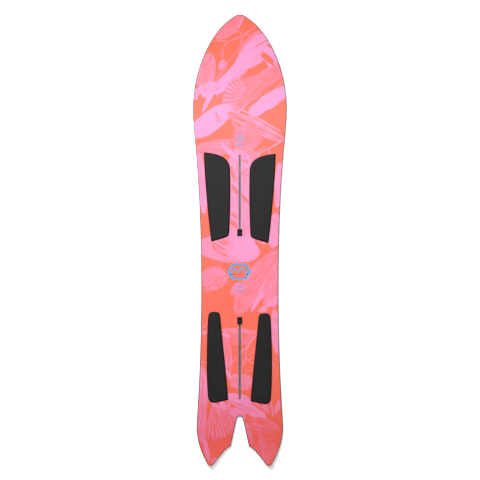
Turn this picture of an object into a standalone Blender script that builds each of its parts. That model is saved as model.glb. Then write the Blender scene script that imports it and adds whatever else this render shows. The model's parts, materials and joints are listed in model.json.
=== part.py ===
"""A swallow-tailed powder snowboard, laid flat, as the laminate, edges, tracks, plugs and pads it is made of.

Metres. +Y points to the nose, +X to the right of a rider looking at the nose, +Z out of the deck.
The origin is at mid length, on the plane that the running base rests on.
"""

import math

import bmesh
import bpy
from mathutils import Vector

MM = 0.001

# Plan shape, half widths and positions along the board
HALF_LENGTH = 790.0 * MM
NOSE_TIP_Y = 788.3 * MM
NOSE_HALF_WIDTH = 165.0 * MM
NOSE_WIDE_Y = 455.0 * MM
WAIST_HALF_WIDTH = 135.7 * MM
WAIST_Y = -171.7 * MM
TAIL_HALF_WIDTH = 151.8 * MM
TAIL_WIDE_Y = -655.0 * MM
NOTCH_APEX_Y = -615.5 * MM
NOTCH_CORNER = (31.0 * MM, -719.0 * MM)

# Side profile
NOSE_CONTACT_Y = 440.0 * MM
TAIL_CONTACT_Y = -600.0 * MM
NOSE_RISE = 52.0 * MM
TAIL_RISE = 13.0 * MM
NOSE_TAPER_Y = 345.0 * MM
CORE_THICKNESS = 5.0 * MM
TIP_CORE_THICKNESS = 1.9 * MM
STATION_STEP = 25.0 * MM

# Stack, bottom and top of each layer where the board is thickest
GLUE = 0.1 * MM
BASE_Z = (0.0, 1.3 * MM)
FLANGE_Z = (1.4 * MM, 1.9 * MM)
LOWER_GLASS_Z = (1.4 * MM, 2.0 * MM)
RUBBER_Z = (2.0 * MM, 2.3 * MM)
CORE_Z = (2.1 * MM, 7.1 * MM)
SIDEWALL_Z = (2.4 * MM, 7.1 * MM)
UPPER_GLASS_Z = (7.2 * MM, 7.8 * MM)
TOPSHEET_Z = (7.9 * MM, 8.4 * MM)
DECK_Z = TOPSHEET_Z[1]

# Distances in from the outer edge
EDGE_WIDTH = 2.0 * MM
FLANGE_INSET = 7.0 * MM
SIDEWALL_FOOT = 0.3 * MM
SIDEWALL_TOP = 0.9 * MM
SIDEWALL_INNER = 9.0 * MM
TOPSHEET_INSET = 1.1 * MM
NOSE_SPACER_Y = 700.0 * MM
TAIL_SPACER_Y = -735.0 * MM

# Binding tracks: the T-slot rails, the keyhole through the deck, the ridge around them
FRONT_TRACK = (14.0 * MM, 299.3 * MM)
REAR_TRACK = (-268.0 * MM, -556.0 * MM)
RAIL_WIDTH = 19.0 * MM
RAIL_OVERRUN = 2.0 * MM
RAIL_FLOOR = 0.8 * MM
CAVITY_WIDTH = 15.0 * MM
CAVITY_HEIGHT = 3.0 * MM
SLOT_WIDTH = 7.7 * MM
PLUG_SIZE = (18.0 * MM, 25.6 * MM)
PLUG_GAP = 0.3 * MM
PLUG_TOP = 9.3 * MM
RIDGE_TOP = 9.0 * MM
RIDGE_HALF_WIDTH = 18.5 * MM
RIDGE_RUN_OUT = 22.0 * MM
RIDGE_CORNER = 12.0 * MM

# Pads
PAD_THICKNESS = 5.0 * MM
PAD_BEVEL = 4.0 * MM
ADHESIVE = 0.3 * MM
PAD_STAGGER = 5.0 * MM
REAR_PAD_SHIFT = 3.0 * MM

SHARP_ANGLE = math.radians(25)
PARTS = "powder_board"
CUTTERS = "cutters"

COLOURS = {
    "polyethylene": ((0.02, 0.02, 0.022), 0.0, 0.35),
    "steel": ((0.42, 0.42, 0.43), 1.0, 0.32),
    "rubber": ((0.03, 0.03, 0.03), 0.0, 0.8),
    "glass_laminate": ((0.62, 0.66, 0.5), 0.0, 0.4),
    "wood": ((0.62, 0.42, 0.24), 0.0, 0.6),
    "abs": ((0.58, 0.64, 0.63), 0.0, 0.45),
    "printed_nylon": ((0.95, 0.2, 0.17), 0.0, 0.25),
    "aluminium": ((0.55, 0.58, 0.58), 1.0, 0.4),
    "nylon": ((0.015, 0.015, 0.016), 0.0, 0.5),
    "foam": ((0.035, 0.034, 0.034), 0.0, 0.9),
    "adhesive": ((0.7, 0.66, 0.5), 0.0, 0.6),
}


def mm(*pairs):
    return [(x * MM, y * MM) for x, y in pairs]


def bezier(start, handle, other_handle, end, count):
    """Points along a cubic curve, without its end."""
    points = []
    for i in range(count):
        t = i / count
        weights = ((1 - t) ** 3, 3 * (1 - t) ** 2 * t, 3 * (1 - t) * t * t, t**3)
        controls = (start, handle, other_handle, end)
        x = sum(w * p[0] for w, p in zip(weights, controls))
        y = sum(w * p[1] for w, p in zip(weights, controls))
        points.append((x, y))
    return points


def half_outline():
    """The right side, from the nose tip round the tail tip to the notch's apex, and the tail tip's index."""
    tip = (35.2 * MM, 771.4 * MM)
    wide = (NOSE_HALF_WIDTH, NOSE_WIDE_Y)
    waist = (WAIST_HALF_WIDTH, WAIST_Y)
    tail = (TAIL_HALF_WIDTH, TAIL_WIDE_Y)
    tip_outside = (112.0 * MM, -784.6 * MM)
    tip_inside = (88.8 * MM, -780.8 * MM)
    slot_end = (10.8 * MM, NOTCH_APEX_Y - 11.5 * MM)
    apex = (0.0, NOTCH_APEX_Y)
    points = bezier((0.0, NOSE_TIP_Y), *mm((15.5, 788.3), (24.5, 778)), tip, 6)
    points += bezier(tip, *mm((88, 737.5), (165, 616.8)), wide, 20)
    points += bezier(wide, *mm((165, 375.3), (135.7, 234.5)), waist, 12)
    points += bezier(waist, *mm((135.7, -455.7), (151.8, -619)), tail, 9)
    points += bezier(tail, *mm((151.8, -703), (133.5, -747.5)), tip_outside, 9)
    points += bezier(tip_outside, *mm((106.7, -792), (97.3, -792)), tip_inside, 4)
    tail_tip = len(points) - 2
    points += bezier(tip_inside, *mm((76.8, -764.5), (52, -730)), NOTCH_CORNER, 6)
    points += [NOTCH_CORNER]
    points += bezier(slot_end, *mm((9.4, -619.5), (5.4, -615.5)), apex, 4)
    return points + [apex], tail_tip


RIGHT, TAIL_TIP = half_outline()


def outline():
    """The whole plan, anticlockwise from the nose tip: down the left side and up the right."""
    left = [(-x, y) for x, y in RIGHT]
    return left + RIGHT[-2:0:-1]


def inset(points, distance):
    """The closed outline moved inwards by a distance, with its corners kept square."""
    moved = []
    for i, (x, y) in enumerate(points):
        before = Vector(points[i - 1])
        here = Vector((x, y))
        after = Vector(points[(i + 1) % len(points)])
        normals = []
        for step in ((here - before).normalized(), (after - here).normalized()):
            normals.append(Vector((-step.y, step.x)))
        bisector = (normals[0] + normals[1]).normalized()
        reach = distance / max(bisector.dot(normals[0]), 0.4)
        moved.append((x + bisector.x * reach, y + bisector.y * reach))
    return moved


def ramp(y, start, end):
    return min(max((y - start) / (end - start), 0.0), 1.0)


def stations():
    """The lines across the board between which every layer stays flat."""
    found = []
    for start, end in ((NOSE_TAPER_Y, HALF_LENGTH), (TAIL_CONTACT_Y, -HALF_LENGTH)):
        steps = math.ceil(abs(end - start) / STATION_STEP)
        found += [start + (end - start) * i / steps for i in range(steps + 1)]
    return sorted(found)


STATIONS = stations()


def rise_at(y):
    nose = NOSE_RISE * ramp(y, NOSE_CONTACT_Y, HALF_LENGTH) ** 2.2
    return nose + TAIL_RISE * ramp(y, TAIL_CONTACT_Y, -HALF_LENGTH) ** 2


def core_share_at(y):
    """How much of the full core thickness is left at y."""
    away = max(ramp(y, NOSE_TAPER_Y, HALF_LENGTH), ramp(y, TAIL_CONTACT_Y, -HALF_LENGTH))
    smooth = away * away * (3 - 2 * away)
    return 1 - smooth * (1 - TIP_CORE_THICKNESS / CORE_THICKNESS)


def between_stations(value, y):
    """The value at y, straight from one station to the next."""
    if y <= STATIONS[0]:
        return value(STATIONS[0])
    for low, high in zip(STATIONS, STATIONS[1:]):
        if y <= high:
            share = (y - low) / (high - low)
            return value(low) * (1 - share) + value(high) * share
    return value(STATIONS[-1])


def bent(x, y, z):
    """A point of the flat stack, moved to where the finished board's profile puts it."""
    lost = 1 - between_stations(core_share_at, y)
    in_core = min(max(z - CORE_Z[0], 0.0), CORE_THICKNESS)
    return Vector((x, y, z - in_core * lost + between_stations(rise_at, y)))


def bend_along_stations(bm):
    for y in STATIONS:
        everything = bm.verts[:] + bm.edges[:] + bm.faces[:]
        bmesh.ops.bisect_plane(bm, geom=everything, dist=1e-7, plane_co=(0, y, 0), plane_no=(0, 1, 0))
    for vert in bm.verts:
        vert.co = bent(*vert.co)


def cut_off(bm, point, away):
    """Removes what lies beyond a plane, and closes the cut."""
    everything = bm.verts[:] + bm.edges[:] + bm.faces[:]
    cut = bmesh.ops.bisect_plane(
        bm, geom=everything, dist=1e-7, plane_co=point, plane_no=away, clear_outer=True
    )
    rim = [e for e in cut["geom_cut"] if isinstance(e, bmesh.types.BMEdge)]
    bmesh.ops.holes_fill(bm, edges=rim, sides=0)


def stack(rings):
    """A closed body through outlines at rising heights: [(outline, z), ...]."""
    bm = bmesh.new()
    levels = [[bm.verts.new((x, y, z)) for x, y in points] for points, z in rings]
    bm.faces.new(levels[0][::-1])
    bm.faces.new(levels[-1])
    count = len(levels[0])
    for low, high in zip(levels, levels[1:]):
        for i in range(count):
            j = (i + 1) % count
            bm.faces.new((low[i], low[j], high[j], high[i]))
    return bm


def bar(profile, start, end):
    """A section in X and Z, run along Y."""
    bm = bmesh.new()
    near, far = ([bm.verts.new((x, y, z)) for x, z in profile] for y in (start, end))
    bm.faces.new(near[::-1])
    bm.faces.new(far)
    for i in range(len(profile)):
        j = (i + 1) % len(profile)
        bm.faces.new((near[i], near[j], far[j], far[i]))
    return bm


def rim_wall(first, last, profile):
    """A section swept along the rim from one outline point to another: profile is [(inset, z), ...]."""
    whole = outline()
    rows = [inset(whole, distance) for distance, _ in profile]
    bm = bmesh.new()
    sections = []
    for i in range(first, last + 1):
        k = i % len(whole)
        sections.append([bm.verts.new((row[k][0], row[k][1], z)) for row, (_, z) in zip(rows, profile)])
    for ends, toward in ((sections[0], sections[1]), (sections[-1], sections[-2])):
        for vert, inner in zip(ends, toward):
            step = inner.co - vert.co
            vert.co += step * (GLUE / max(step.length, GLUE))
    size = len(profile)
    for here, after in zip(sections, sections[1:]):
        for i in range(size):
            j = (i + 1) % size
            bm.faces.new((here[i], here[j], after[j], after[i]))
    bm.faces.new(sections[0][::-1])
    bm.faces.new(sections[-1])
    return bm


def collection(name, helper=False):
    made = bpy.data.collections.new(name)
    made.hide_render = helper
    bpy.context.scene.collection.children.link(made)
    return made


def material(name):
    made = bpy.data.materials.get(name)
    if made:
        return made
    colour, metallic, roughness = COLOURS[name]
    made = bpy.data.materials.new(name)
    made.use_nodes = True
    made.diffuse_color = (*colour, 1)
    shader = made.node_tree.nodes["Principled BSDF"]
    shader.inputs["Base Color"].default_value = (*colour, 1)
    shader.inputs["Metallic"].default_value = metallic
    shader.inputs["Roughness"].default_value = roughness
    return made


def add(name, bm, stuff=None, at=(0, 0, 0), bend=False):
    """The finished bmesh as an object, with its origin at a point. Without a material it is a cutter."""
    if bend:
        bend_along_stations(bm)
    bmesh.ops.recalc_face_normals(bm, faces=bm.faces[:])
    bmesh.ops.translate(bm, verts=bm.verts[:], vec=-Vector(at))
    mesh = bpy.data.meshes.new(name)
    bm.to_mesh(mesh)
    bm.free()
    mesh.shade_smooth()
    mesh.set_sharp_from_angle(angle=SHARP_ANGLE)
    made = bpy.data.objects.new(name, mesh)
    made.location = at
    if stuff:
        mesh.materials.append(material(stuff))
        bpy.data.collections[PARTS].objects.link(made)
    else:
        made.hide_render = True
        made.display_type = "WIRE"
        bpy.data.collections[CUTTERS].objects.link(made)
    return made


def combine(target, other, operation):
    modifier = target.modifiers.new(f"{operation.lower()}_{other.name}", "BOOLEAN")
    modifier.operation = operation
    modifier.solver = "EXACT"
    modifier.object = other


def layer(name, stuff, distance, heights):
    points = inset(outline(), distance)
    return add(name, stack([(points, heights[0]), (points, heights[1])]), stuff, bend=True)


def make_edges_and_sidewalls():
    """What runs round the rim: steel edge, the rubber on its flange, and the sidewall above."""
    count = len(outline())
    right_tip = count - TAIL_TIP
    runs = {"left": (0, TAIL_TIP), "notch": (TAIL_TIP, right_tip), "right": (right_tip, count)}
    edge = [(0, 0), (EDGE_WIDTH, 0), (EDGE_WIDTH, FLANGE_Z[0]), (FLANGE_INSET, FLANGE_Z[0])]
    edge += [(FLANGE_INSET, FLANGE_Z[1]), (0, FLANGE_Z[1])]
    rubber = [(0.8 * MM, RUBBER_Z[0]), (FLANGE_INSET, RUBBER_Z[0])]
    rubber += [(FLANGE_INSET, RUBBER_Z[1]), (0.8 * MM, RUBBER_Z[1])]
    wall = [(SIDEWALL_FOOT, SIDEWALL_Z[0]), (SIDEWALL_INNER, SIDEWALL_Z[0])]
    wall += [(SIDEWALL_INNER, SIDEWALL_Z[1]), (SIDEWALL_TOP, SIDEWALL_Z[1])]
    for side, (first, last) in runs.items():
        add(f"steel_edge_{side}", rim_wall(first, last, edge), "steel", bend=True)
        add(f"edge_rubber_{side}", rim_wall(first, last, rubber), "rubber", bend=True)
        trim = 3 if side == "notch" else 0
        body = rim_wall(first + trim, last - trim, wall)
        cut_off(body, (0, TAIL_SPACER_Y + GLUE, 0), (0, -1, 0))
        if side != "notch":
            cut_off(body, (0, NOSE_SPACER_Y - GLUE, 0), (0, 1, 0))
        add(f"sidewall_{side}", body, "abs", bend=True)


def make_tip_spacers():
    """The solid plastic that fills the nose and each tail tip beyond the ends of the core."""
    points = outline()
    cuts = {
        "nose_spacer": [((0, NOSE_SPACER_Y + GLUE, 0), (0, -1, 0))],
        "tail_spacer_left": [((-GLUE, 0, 0), (1, 0, 0)), ((0, TAIL_SPACER_Y - GLUE, 0), (0, 1, 0))],
        "tail_spacer_right": [((GLUE, 0, 0), (-1, 0, 0)), ((0, TAIL_SPACER_Y - GLUE, 0), (0, 1, 0))],
    }
    for name, planes in cuts.items():
        foot = (inset(points, SIDEWALL_FOOT), SIDEWALL_Z[0])
        body = stack([foot, (inset(points, SIDEWALL_TOP), SIDEWALL_Z[1])])
        for point, away in planes:
            cut_off(body, point, away)
        add(name, body, "abs", bend=True)


def arc(centre, radius, start, end, count):
    """Points along an arc, both ends included, with its angles in degrees."""
    points = []
    for i in range(count + 1):
        angle = math.radians(start + (end - start) * i / count)
        points.append((centre[0] + radius * math.cos(angle), centre[1] + radius * math.sin(angle)))
    return points


def rounded_box(width, length, radius, count=4):
    """An outline about its own centre."""
    points = []
    corners = ((1, 1, 0), (-1, 1, 90), (-1, -1, 180), (1, -1, 270))
    for sx, sy, start in corners:
        centre = (sx * (width / 2 - radius), sy * (length / 2 - radius))
        points += arc(centre, radius, start, start + 90, count)
    return points


def moved(points, x=0.0, y=0.0, flip=False):
    """The outline moved, and turned end for end about the X axis first where flip is set."""
    if flip:
        points = [(px, -py) for px, py in points][::-1]
    return [(px + x, py + y) for px, py in points]


def keyhole(length, clearance):
    """A plug opening with the screw slot running on from it towards +Y. The origin is at its inner end."""
    half = PLUG_SIZE[0] / 2 + clearance
    slot = SLOT_WIDTH / 2 + clearance
    deep = PLUG_SIZE[1] + clearance
    corner = 2.5 * MM
    points = arc((-half + corner, -clearance + corner), corner, 180, 270, 4)
    points += arc((half - corner, -clearance + corner), corner, 270, 360, 4)
    points += arc((half - corner, deep - corner), corner, 0, 90, 4)
    points += [(slot, deep)] + arc((0, length - slot), slot, 0, 180, 8) + [(-slot, deep)]
    return points + arc((-half + corner, deep - corner), corner, 90, 180, 4)


def make_track(name, inner, outer, glass, topsheet):
    """One T-slot with its plug, the cuts that they need, and the ridge that the topsheet makes."""
    length = abs(outer - inner)
    flip = outer < inner
    centre = (inner + outer) / 2

    foot = rounded_box(2 * RIDGE_HALF_WIDTH, length + 2 * RIDGE_RUN_OUT, RIDGE_CORNER, 5)
    foot = moved(foot, y=centre)
    heights = (DECK_Z - 0.2 * MM, DECK_Z + 0.1 * MM, RIDGE_TOP)
    ridge = zip((foot, foot, inset(foot, 3.5 * MM)), heights)
    combine(topsheet, add(f"{name}_ridge", stack(list(ridge))), "UNION")

    opening = moved(keyhole(length, 0.0), y=inner, flip=flip)
    cutter = add(f"{name}_keyhole", stack([(opening, 7.15 * MM), (opening, 12 * MM)]))
    combine(glass, cutter, "DIFFERENCE")
    combine(topsheet, cutter, "DIFFERENCE")

    way = -1 if flip else 1
    plug_y = inner + way * PLUG_SIZE[1] / 2
    make_rails(name, centre, length, plug_y)
    make_plug(f"{name}_plug", plug_y)


def make_rails(name, centre, length, plug_y):
    """The T-slot's three strips: a floor between two side rails whose lips hold the nuts down."""
    low, high = CORE_Z
    floor = low + RAIL_FLOOR
    strip = moved(rounded_box(CAVITY_WIDTH - 0.6 * MM, length, 1.5 * MM), y=centre)
    add(f"{name}_floor", stack([(strip, low), (strip, floor)]), "aluminium", (0, centre, low))

    opening = moved(rounded_box(CAVITY_WIDTH - 0.4 * MM, PLUG_SIZE[1] - 3 * MM, 1.5 * MM), y=plug_y)
    under_lips = floor + CAVITY_HEIGHT / 2
    cutter = add(f"{name}_entry", stack([(opening, under_lips), (opening, 12 * MM)]))
    web, outside, slot = CAVITY_WIDTH / 2, RAIL_WIDTH / 2, SLOT_WIDTH / 2 - 0.1 * MM
    lip = floor + CAVITY_HEIGHT
    profile = [(outside, low), (outside, high), (slot, high), (slot, lip), (web, lip), (web, low)]
    reach = length / 2 + RAIL_OVERRUN
    ends = (centre - reach, centre + reach)
    for side, sign in (("left", -1), ("right", 1)):
        section = [(sign * x, z) for x, z in profile]
        at = (sign * outside, centre, low)
        rail = add(f"{name}_rail_{side}", bar(section, *ends), "aluminium", at)
        combine(rail, cutter, "DIFFERENCE")


def make_plug(name, middle):
    """The black plug: a head in the deck's opening on a foot between the rails' lips."""
    head_width = PLUG_SIZE[0] - 2 * PLUG_GAP
    head_length = PLUG_SIZE[1] - 2 * PLUG_GAP
    foot = moved(rounded_box(CAVITY_WIDTH - 1.2 * MM, 20.4 * MM, 1.2 * MM), y=middle)
    head = moved(rounded_box(head_width, head_length, 2.3 * MM), y=middle)
    crown = inset(head, 0.5 * MM)
    lip = inset(head, 1.9 * MM)
    dish = inset(head, 2.5 * MM)
    under = CORE_Z[1] + GLUE
    floor = CORE_Z[0] + RAIL_FLOOR + 0.2 * MM
    levels = ((foot, floor), (foot, under), (head, under), (head, PLUG_TOP - 0.4 * MM))
    levels += ((crown, PLUG_TOP), (lip, PLUG_TOP), (dish, PLUG_TOP - 0.4 * MM))
    add(name, stack(list(levels)), "nylon", (0, middle, floor))


# The left pads' outlines, clockwise: each curve's start with its two handles, and how many steps it takes
FRONT_PAD = (
    (mm((-125.6, 308.4), (-88, 304), (-38, 298)), 9),
    (mm((-34.4, 252), (-32, 190), (-33.2, 75)), 8),
    (mm((-37.4, 26), (-38.4, 15), (-44, 13.6)), 4),
    (mm((-54, 9.6), (-70, 4), (-87, -0.6)), 3),
    (mm((-98, -2.4), (-101, -3), (-100.6, -0.4)), 2),
    (mm((-101, 2), (-112, 95), (-123.4, 215)), 8),
)
REAR_PAD = (
    (mm((-98, -250.4), (-91, -249.6), (-85, -249.6)), 2),
    (mm((-78, -250.6), (-70.4, -251.6), (-68.6, -262)), 4),
    (mm((-67.8, -272), (-61.4, -345), (-50, -436)), 8),
    (mm((-40.6, -553), (-40.2, -556.6), (-41, -557.4)), 2),
    (mm((-43.4, -557.6), (-58, -560), (-74, -566)), 3),
    (mm((-90, -567), (-104, -567.4), (-108, -562)), 4),
    (mm((-110.4, -552), (-118, -500), (-116.4, -360)), 8),
    (mm((-111.2, -276), (-110.2, -258), (-107, -251.6)), 4),
)


def pad_outline(shape, right):
    """The left pad's outline, anticlockwise, or its mirror image for the right."""
    points = []
    for i, (controls, count) in enumerate(shape):
        points += bezier(*controls, shape[(i + 1) % len(shape)][0][0], count)
    return [(-x, y) for x, y in points] if right else points[::-1]


def make_pads():
    for place, shape in (("front", FRONT_PAD), ("rear", REAR_PAD)):
        for side in ("left", "right"):
            points = pad_outline(shape, side == "right")
            if side == "right":
                points = moved(points, x=-REAR_PAD_SHIFT if place == "rear" else 0.0, y=-PAD_STAGGER)
            sheet_z = DECK_Z + GLUE
            pad_z = sheet_z + ADHESIVE + GLUE
            middle = [sum(p[k] for p in points) / len(points) for k in (0, 1)]
            at = (*middle, pad_z)
            glue = inset(points, 1.0 * MM)
            sheet = stack([(glue, sheet_z), (glue, sheet_z + ADHESIVE)])
            add(f"{place}_pad_adhesive_{side}", sheet, "adhesive", (*middle, sheet_z))
            levels = [(points, pad_z), (points, pad_z + 1.2 * MM)]
            levels += [(inset(points, PAD_BEVEL), pad_z + PAD_THICKNESS)]
            add(f"{place}_pad_{side}", stack(levels), "foam", at)


def make_core():
    """The core's strips: a stringer either side of the tracks, and the blocks before, between and after."""
    points = inset(outline(), SIDEWALL_INNER + 0.2 * MM)
    parting = RAIL_WIDTH / 2 + GLUE
    nose = ((0, NOSE_SPACER_Y - GLUE, 0), (0, 1, 0))
    tail = ((0, TAIL_SPACER_Y + GLUE, 0), (0, -1, 0))
    strip = [((parting, 0, 0), (1, 0, 0)), ((-parting, 0, 0), (-1, 0, 0))]
    clear = RAIL_OVERRUN + 2 * GLUE
    cuts = {
        "core_stringer_left": [((-parting - GLUE, 0, 0), (1, 0, 0)), nose, tail],
        "core_stringer_right": [((parting + GLUE, 0, 0), (-1, 0, 0)), nose, tail],
        "core_block_front": [*strip, ((0, FRONT_TRACK[1] + clear, 0), (0, -1, 0)), nose],
        "core_block_middle": [
            *strip,
            ((0, REAR_TRACK[0] + clear, 0), (0, -1, 0)),
            ((0, FRONT_TRACK[0] - clear, 0), (0, 1, 0)),
        ],
        "core_block_rear": [*strip, ((0, REAR_TRACK[1] - clear, 0), (0, 1, 0))],
    }
    for name, planes in cuts.items():
        body = stack([(points, CORE_Z[0]), (points, CORE_Z[1])])
        for point, away in planes:
            cut_off(body, point, away)
        add(name, body, "wood", bend=True)


def main():
    for leftover in list(bpy.data.objects):
        bpy.data.objects.remove(leftover)
    bpy.context.scene.unit_settings.system = "METRIC"
    collection(PARTS)
    collection(CUTTERS, helper=True)
    layer("base_sheet", "polyethylene", EDGE_WIDTH + GLUE, BASE_Z)
    layer("lower_glass", "glass_laminate", FLANGE_INSET + 0.3 * MM, LOWER_GLASS_Z)
    make_core()
    glass = layer("upper_glass", "glass_laminate", TOPSHEET_INSET, UPPER_GLASS_Z)
    topsheet = layer("topsheet", "printed_nylon", TOPSHEET_INSET, TOPSHEET_Z)
    make_edges_and_sidewalls()
    make_tip_spacers()
    make_track("front_track", *FRONT_TRACK, glass, topsheet)
    make_track("rear_track", *REAR_TRACK, glass, topsheet)
    make_pads()


main()
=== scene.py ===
"""Looks for the swallow-tailed powder snowboard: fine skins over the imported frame, its print, and a studio.

Metres, in the frame's own axes: +Y to the nose, +X to the right, +Z up. The print is laid out in millimetres,
in plain shapes whose places follow the print on the photographed board.
"""

import json
import math

import bmesh
import bpy
import numpy as np
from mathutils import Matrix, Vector


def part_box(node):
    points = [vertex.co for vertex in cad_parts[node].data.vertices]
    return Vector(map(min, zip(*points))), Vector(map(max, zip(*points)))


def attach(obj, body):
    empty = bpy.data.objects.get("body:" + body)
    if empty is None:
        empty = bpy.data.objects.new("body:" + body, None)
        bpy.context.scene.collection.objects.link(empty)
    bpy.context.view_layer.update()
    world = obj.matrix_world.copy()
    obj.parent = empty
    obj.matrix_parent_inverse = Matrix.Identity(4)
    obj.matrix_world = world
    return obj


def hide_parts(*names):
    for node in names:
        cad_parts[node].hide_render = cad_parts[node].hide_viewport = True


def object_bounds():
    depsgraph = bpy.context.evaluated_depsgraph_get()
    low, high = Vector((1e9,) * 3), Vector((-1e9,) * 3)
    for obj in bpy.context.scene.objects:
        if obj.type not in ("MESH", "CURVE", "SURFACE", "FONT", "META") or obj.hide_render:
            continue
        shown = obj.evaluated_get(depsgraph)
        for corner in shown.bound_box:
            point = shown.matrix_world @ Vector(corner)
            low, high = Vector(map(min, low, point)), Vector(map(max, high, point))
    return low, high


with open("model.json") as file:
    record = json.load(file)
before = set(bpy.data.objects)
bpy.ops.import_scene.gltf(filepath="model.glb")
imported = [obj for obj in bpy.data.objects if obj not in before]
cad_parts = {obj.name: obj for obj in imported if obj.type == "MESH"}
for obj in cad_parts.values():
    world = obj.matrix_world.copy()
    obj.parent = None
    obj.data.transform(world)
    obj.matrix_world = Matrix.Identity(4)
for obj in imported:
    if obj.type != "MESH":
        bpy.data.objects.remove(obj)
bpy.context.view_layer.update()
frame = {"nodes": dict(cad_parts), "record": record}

MM = 0.001

# Reading the frame
WELD = 1e-6
UPWARD = 0.6
STRAIGHT = math.radians(0.15)
CORNER = math.radians(40)
UNEVEN = 6.0
INSET_PASSES = 8
NO_PROGRESS = 1e-10  # square metres

# Fine skins
RIM_STEP = 4.0 * MM
PAD_STEP = 3.0 * MM
PLUG_STEP = 0.4 * MM
KEYHOLE_STEP = 0.6 * MM
BEND_STEP = 8.0 * MM
BEND_BLEND = 14.0 * MM
RIDGE_SLOPE = 5.0 * MM
RIDGE_RINGS = 7
RIDGE_OVERLAP = 0.2 * MM
EDGE_WIDTH = 0.3 * MM
EDGE_DROP = 0.2 * MM
BORDER_WIDTH = 1.9 * MM
ARROW_REACH = 3.4 * MM
PLUG_DISH = 0.3 * MM
PAD_PROFILE = ((0.0, 0.0), (0.0, 0.2), (0.15, 0.27), (0.6, 0.37), (3.2, 0.88), (3.9, 0.965), (5.0, 1.0))
PLUG_PROFILE = (
    (0.0, 0.0), (0.05, 0.14), (0.2, 0.25), (0.45, 0.3),
    (1.9, 0.3), (2.1, 0.26), (2.3, 0.1), (2.5, -0.2), (2.9, -0.3)
)

# Printed marks
INK_GAP = 0.01 * MM
INK_TOP = 0.05 * MM
TICK_PITCH = 12.5 * MM
TICK_WIDTH = 2.6 * MM
TICK_START = 4.4 * MM
TICK_END = 8.3 * MM
LONG_TICK_END = 12.6 * MM
FRONT_TICKS = (150.0 * MM, -2, 4)
REAR_TICKS = (-407.0 * MM, -4, 2)

# Camera and studio
FLOOR_GAP = 0.3 * MM
FLOOR_GLOW = 0.45
LENS = 300.0
SENSOR = 36.0
VIEW_HEIGHT = 1.6786
VIEW_CENTRE = (0.0007, 0.0014)
KEY_PLACE = (-1.1, 1.9, 3.2)
KEY_WATTS = 152
OVERHEAD_PLACE = (0.2, 1.6, 6.5)
OVERHEAD_WATTS = 60
WORLD_STRENGTH = 0.15


def srgb(red, green, blue, alpha=1.0):
    """A display colour, 0 to 255, as the linear colour that a shader takes."""
    linear = []
    for value in (red / 255, green / 255, blue / 255):
        linear.append(value / 12.92 if value <= 0.04045 else ((value + 0.055) / 1.055) ** 2.4)
    return (*linear, alpha)


# ---------------------------------------------------------------- outlines


def perimeter(points):
    return sum((points[i] - points[i - 1]).length for i in range(len(points)))


def area(points):
    return sum(points[i - 1].x * points[i].y - points[i].x * points[i - 1].y for i in range(len(points))) / 2


def loops_of(node):
    """The loops that bound a node's upward faces, longest first. Outer ones run anticlockwise."""
    bm = bmesh.new()
    bm.from_mesh(frame["nodes"][node].data)
    bmesh.ops.remove_doubles(bm, verts=bm.verts[:], dist=WELD)
    following = {}
    for painted_slope_shade in bm.faces:
        if painted_slope_shade.normal.z < UPWARD:
            continue
        for corner in painted_slope_shade.loops:
            others = [f for f in corner.edge.link_faces if f != painted_slope_shade]
            if all(f.normal.z < UPWARD for f in others):
                following[corner.vert] = corner.link_loop_next.vert
    loops = []
    while following:
        here = next(iter(following))
        points = []
        while here in following:
            points.append(here.co.copy())
            here = following.pop(here)
        loops.append(points)
    bm.free()
    return sorted(loops, key=perimeter, reverse=True)


def turning(before, after):
    return before.angle_signed(after, 0.0)


def without_straight_points(points):
    kept = []
    for i, here in enumerate(points):
        before = here - (kept[-1] if kept else points[i - 1])
        after = points[(i + 1) % len(points)] - here
        if before.length > WELD and abs(turning(before, after)) > STRAIGHT:
            kept.append(here)
    return kept


def tangents_at(before, after):
    """The outline's directions just before and just after a point, from the steps to it and from it."""
    if abs(turning(before, after)) > CORNER:
        return before.normalized(), after.normalized()
    if max(before.length, after.length) > UNEVEN * min(before.length, after.length):
        longer = max(before, after, key=lambda step: step.length)
        return longer.normalized(), longer.normalized()
    mean = before.normalized() * after.length + after.normalized() * before.length
    return mean.normalized(), mean.normalized()


def smoothed(points, step):
    """A closed outline with points added along a curve through it. Its corners stay sharp."""
    flat = without_straight_points([p.to_2d() for p in points])
    count = len(flat)
    arriving, leaving = [], []
    for i, here in enumerate(flat):
        ends = tangents_at(here - flat[i - 1], flat[(i + 1) % count] - here)
        arriving.append(ends[0])
        leaving.append(ends[1])
    fine = []
    for i, start in enumerate(flat):
        j = (i + 1) % count
        end = flat[j]
        length = (end - start).length
        bend = abs(turning(end - start, leaving[i])) + abs(turning(end - start, arriving[j]))
        pieces = 1 if bend < STRAIGHT else math.ceil(length / step)
        for k in range(pieces):
            t = k / pieces
            here = start * (1 + 2 * t) * (1 - t) ** 2 + end * t * t * (3 - 2 * t)
            here = here + leaving[i] * length * t * (1 - t) ** 2 - arriving[j] * length * t * t * (1 - t)
            fine.append(here)
    return fine


def crossing(start, end, other_start, other_end):
    """Where two lines cross in the plane, or the first one's end if they run alongside."""
    step, other = end - start, other_end - other_start
    spread = step.cross(other)
    if abs(spread) < 1e-6 * step.length * other.length:
        return end
    return start + step * ((other_start - start).cross(other) / spread)


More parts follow.
